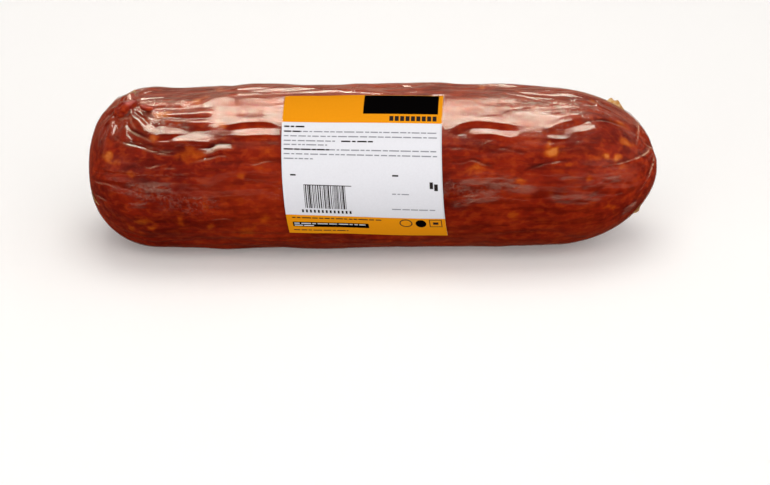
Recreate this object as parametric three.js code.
// A whole cured sausage of the thick slicing kind, lying on its side in clear vacuum film that clings to it,
// with one square paper label on its front.
// Millimetres. X runs along the sausage, the label faces -Y and Z is up. The origin is on the surface that the
// sausage lies on, below its middle.
import * as THREE from "three";

// The sausage
const LENGTH = 368; // tip to tip
const BELLY_RADIUS = 53; // at the thickest place
const BELLY_X = -45; // the thickest place, a little left of the middle
const BELLY_TAPER = 0.035; // share of the radius lost one TAPER_RUN away from it
const TAPER_RUN = 160;
const LEFT_CAP = { run: 48.7, power: 0.381 }; // blunt end
const RIGHT_CAP = { run: 66, power: 0.545 }; // longer, rounder end
const AXIS_HEIGHT = 51.2; // less than the radius, because its own weight flattens it where it lies
const SHOULDER_DENT = { x: -126, angle: 100, depth: 2.4, along: 26, around: 40 };

// The relief of the skin, which dried and shrank, and of the film over it
const LUMPS = { height: 0.9, along: 60, cells: 1.4 };
const WRINKLES = { height: 2.4, along: 62, cells: 4.6 };
const WANDER = { angle: 0.42, along: 75, cells: 1.6 }; // how far wrinkles drift round as they run along
const CALM_FRONT = { share: 0.72, angle: -15, around: 38 }; // the front and the lower side wrinkled less
const PLEATS = { cells: 2.6, rise: 9 };
const PRESSED = { share: 0.75, around: 32 }; // its weight smooths the skin near the line that it lies on
// The film is drawn together at two spots: over the tied end, which folds back on the shoulder, and at the tip.
const LEFT_GATHER = { x: -157, angle: 76, pleats: 3, reach: 34, dimple: 0 };
const RIGHT_GATHER = { x: 181, angle: 88, pleats: 2.2, reach: 28, dimple: 2 };
const DIMPLE_REACH = 6;
const TIED_END = { height: 5.2, along: 6.2, around: 6.4 }; // the folded stub under the film

// The label
const LABEL = { width: 100.6, middleX: -4.2, top: 80.6, foot: -30.4, thickness: 0.3, gap: 0.35 };
const LABEL_LEAN = 1.35; // the shrinking film moved its head and foot this far apart, each way
const LABEL_BOW = -2.9; // and drew the middle of its sides this far along
const LABEL_FOOT_TILT = 2.6; // degrees, each way
const LABEL_MARGIN = { flat: 4, fade: 13 }; // the skin is pressed smooth this far round it

// How finely the solids are faceted
const RINGS = 60;
const SPOKES = 88;
const LABEL_STEPS = 16;

const smooth = (edge0, edge1, v) => {
  const t = Math.min(1, Math.max(0, (v - edge0) / (edge1 - edge0)));
  return t * t * (3 - 2 * t);
};
const bell = (v) => Math.exp(-v * v);
const radians = THREE.MathUtils.degToRad;

// A repeatable random value from 0 to 1 for a corner of the noise lattice.
function cornerValue(i, j, k, salt) {
  const s = Math.sin(i * 127.1 + j * 311.7 + k * 74.7 + salt * 53.3) * 43758.5453;
  return s - Math.floor(s);
}

// Gradient noise, about -0.8 to 0.8.
function noise(x, y, z) {
  const cell = [Math.floor(x), Math.floor(y), Math.floor(z)];
  const inside = [x - cell[0], y - cell[1], z - cell[2]];
  const ease = inside.map((t) => t * t * t * (t * (6 * t - 15) + 10));
  let sum = 0;
  for (let corner = 0; corner < 8; corner++) {
    const step = [corner & 1, (corner >> 1) & 1, corner >> 2];
    const [i, j, k] = cell.map((c, axis) => c + step[axis]);
    let share = 1;
    let slope = 0;
    for (let axis = 0; axis < 3; axis++) {
      share *= step[axis] ? ease[axis] : 1 - ease[axis];
      slope += (2 * cornerValue(i, j, k, axis) - 1) * (inside[axis] - step[axis]);
    }
    sum += share * slope;
  }
  return sum * 1.5;
}

// The plain form: a slightly barrelled round with a blunt cap and a longer one.
function formRadius(x) {
  const left = Math.min(1, Math.max(0, (x + LENGTH / 2) / LEFT_CAP.run));
  const right = Math.min(1, Math.max(0, (LENGTH / 2 - x) / RIGHT_CAP.run));
  const caps = (1 - (1 - left) ** 2) ** LEFT_CAP.power * (1 - (1 - right) ** 2) ** RIGHT_CAP.power;
  return BELLY_RADIUS * (1 - BELLY_TAPER * ((x - BELLY_X) / TAPER_RUN) ** 2) * caps;
}

// A point at angle round the sausage, from the front (-Y) up, at a distance from the axis.
function place(x, angle, radius) {
  return new THREE.Vector3(x, -radius * Math.cos(angle), AXIS_HEIGHT + radius * Math.sin(angle));
}

// The label's outline. across runs from -1 at its left to 1, and down from -1 at its head to 1 at its foot.
function labelPlace(across, down) {
  const x = LABEL.middleX + (LABEL.width / 2) * across + LABEL_LEAN * down + LABEL_BOW * (1 - down * down);
  const foot = LABEL.foot - LABEL_FOOT_TILT * across;
  return { x, angle: radians(LABEL.top + ((foot - LABEL.top) * (down + 1)) / 2) };
}

// 0 on the label and just round it, 1 well away from it.
function clearOfLabel(x, angle) {
  const middleAngle = radians((LABEL.top + LABEL.foot) / 2);
  const halfHeight = radians((LABEL.top - LABEL.foot) / 2) * BELLY_RADIUS;
  const turn = Math.atan2(Math.sin(angle - middleAngle), Math.cos(angle - middleAngle));
  const outX = Math.abs(x - LABEL.middleX) - LABEL.width / 2;
  const outAround = Math.abs(turn) * BELLY_RADIUS - halfHeight;
  const out = Math.hypot(Math.max(0, outX), Math.max(0, outAround));
  return smooth(LABEL_MARGIN.flat, LABEL_MARGIN.fade, out);
}

// Pleats that run in to a gather like spokes, and a dimple at its middle.
function gatherPleats(gather, x, angle) {
  const centre = place(gather.x, radians(gather.angle), formRadius(gather.x));
  const away = place(x, angle, formRadius(x)).sub(centre);
  const rho = away.length();
  const outward = centre.clone().sub(new THREE.Vector3(gather.x * 0.8, 0, AXIS_HEIGHT)).normalize();
  const sideways = new THREE.Vector3(0, 1, 0).cross(outward).normalize();
  const forward = outward.clone().cross(sideways);
  const bearing = Math.atan2(away.dot(forward), away.dot(sideways));
  const spokes = noise(
    PLEATS.cells * Math.cos(bearing),
    PLEATS.cells * Math.sin(bearing),
    rho / (2 * gather.reach) + gather.x,
  );
  const shape = smooth(0, PLEATS.rise, rho) * bell(rho / gather.reach);
  return gather.pleats * shape * (Math.abs(spokes) * 2 - 0.5) - gather.dimple * bell(rho / DIMPLE_REACH);
}

// The folded stub of the tied end, a small steep-sided lump under the film.
function tiedEnd(x, angle) {
  const around = (angle - radians(LEFT_GATHER.angle)) * formRadius(LEFT_GATHER.x);
  const out = Math.hypot((x - LEFT_GATHER.x) / TIED_END.along, around / TIED_END.around);
  return TIED_END.height * bell(out * out);
}

function shoulderDent(x, angle) {
  const d = SHOULDER_DENT;
  return -d.depth * bell((x - d.x) / d.along) * bell((angle - radians(d.angle)) / radians(d.around));
}

// The share of the relief that its own weight leaves at this angle.
function leftByWeight(angle) {
  const fromBottom = Math.acos(-Math.sin(angle));
  return 1 - PRESSED.share * bell(fromBottom / radians(PRESSED.around));
}

// The share of the wrinkles' height at this angle.
function wrinkled(angle) {
  const off = angle - radians(CALM_FRONT.angle);
  const turn = Math.atan2(Math.sin(off), Math.cos(off));
  return 1 - CALM_FRONT.share * bell(turn / radians(CALM_FRONT.around));
}

// All relief, as a height over the plain form.
function relief(x, angle) {
  const turn = (cells, a) => [cells * Math.cos(a), cells * Math.sin(a)];
  const lumps = LUMPS.height * noise(x / LUMPS.along, ...turn(LUMPS.cells, angle));
  const wander = WANDER.angle * noise(x / WANDER.along + 7, ...turn(WANDER.cells, angle));
  const folds = noise(x / WRINKLES.along + 11, ...turn(WRINKLES.cells, angle + wander));
  const wrinkles = WRINKLES.height * wrinkled(angle) * (Math.abs(folds) * 2 - 0.5);
  const narrowing = formRadius(x) / BELLY_RADIUS;
  const pleats = gatherPleats(LEFT_GATHER, x, angle) + gatherPleats(RIGHT_GATHER, x, angle);
  const loose = clearOfLabel(x, angle) * (wrinkles * narrowing + pleats) + tiedEnd(x, angle);
  return (lumps * narrowing + shoulderDent(x, angle) + loose) * leftByWeight(angle);
}

// A point of the skin, lifted off it by lift. What would go under the resting surface lies flat on it.
function skin(x, angle, lift = 0) {
  const point = place(x, angle, Math.max(0.5, formRadius(x) + relief(x, angle) + lift));
  point.z = Math.max(0, point.z);
  return point;
}

function meshOf(name, points, triangles, look) {
  const geometry = new THREE.BufferGeometry().setFromPoints(points);
  geometry.setIndex(triangles);
  geometry.computeVertexNormals();
  const mesh = new THREE.Mesh(geometry, new THREE.MeshStandardMaterial(look));
  mesh.name = name;
  return mesh;
}

// The sausage in its film: rings of points between two tips, close together where the caps curve.
function makeSausage() {
  const points = [];
  const triangles = [];
  const half = LENGTH / 2;
  for (let ring = 1; ring < RINGS; ring++) {
    const share = ring / RINGS;
    const x = THREE.MathUtils.lerp(-half * Math.cos(Math.PI * share), -half + LENGTH * share, 0.42);
    for (let spoke = 0; spoke < SPOKES; spoke++) points.push(skin(x, (2 * Math.PI * spoke) / SPOKES));
  }
  const leftTip = points.push(new THREE.Vector3(-half, 0, AXIS_HEIGHT)) - 1;
  const rightTip = points.push(new THREE.Vector3(half, 0, AXIS_HEIGHT)) - 1;
  const lastRing = (RINGS - 2) * SPOKES;
  for (let spoke = 0; spoke < SPOKES; spoke++) {
    const next = (spoke + 1) % SPOKES;
    triangles.push(leftTip, spoke, next);
    triangles.push(rightTip, lastRing + next, lastRing + spoke);
    for (let start = 0; start < lastRing; start += SPOKES) {
      const [a, b] = [start + spoke, start + next];
      triangles.push(a, a + SPOKES, b, b, a + SPOKES, b + SPOKES);
    }
  }
  return meshOf("sausage", points, triangles, { color: 0x8a220c, roughness: 0.3, metalness: 0 });
}

// The label: a thin curved sheet with an inner face, an outer face and a rim.
function makeLabel() {
  const side = LABEL_STEPS + 1;
  const points = [];
  for (const lift of [LABEL.gap, LABEL.gap + LABEL.thickness]) {
    for (let row = 0; row < side; row++) {
      for (let column = 0; column < side; column++) {
        const spot = labelPlace((2 * column) / LABEL_STEPS - 1, (2 * row) / LABEL_STEPS - 1);
        points.push(skin(spot.x, spot.angle, lift));
      }
    }
  }
  const outer = side * side;
  const triangles = [];
  for (let row = 0; row < LABEL_STEPS; row++) {
    for (let column = 0; column < LABEL_STEPS; column++) {
      const a = row * side + column;
      const [b, c, d] = [a + 1, a + side, a + side + 1];
      triangles.push(a, b, c, b, d, c);
      triangles.push(outer + a, outer + c, outer + b, outer + b, outer + c, outer + d);
    }
  }
  const rim = [];
  for (let i = 0; i < LABEL_STEPS; i++) rim.push(i);
  for (let i = 0; i < LABEL_STEPS; i++) rim.push(i * side + LABEL_STEPS);
  for (let i = LABEL_STEPS; i > 0; i--) rim.push(LABEL_STEPS * side + i);
  for (let i = LABEL_STEPS; i > 0; i--) rim.push(i * side);
  rim.forEach((a, i) => {
    const b = rim[(i + 1) % rim.length];
    triangles.push(a, a + outer, b, b, a + outer, b + outer);
  });
  return meshOf("label", points, triangles, { color: 0xece9e4, roughness: 0.45, metalness: 0 });
}

const sausageInFilm = new THREE.Group();
sausageInFilm.add(makeSausage(), makeLabel());
export default sausageInFilm;
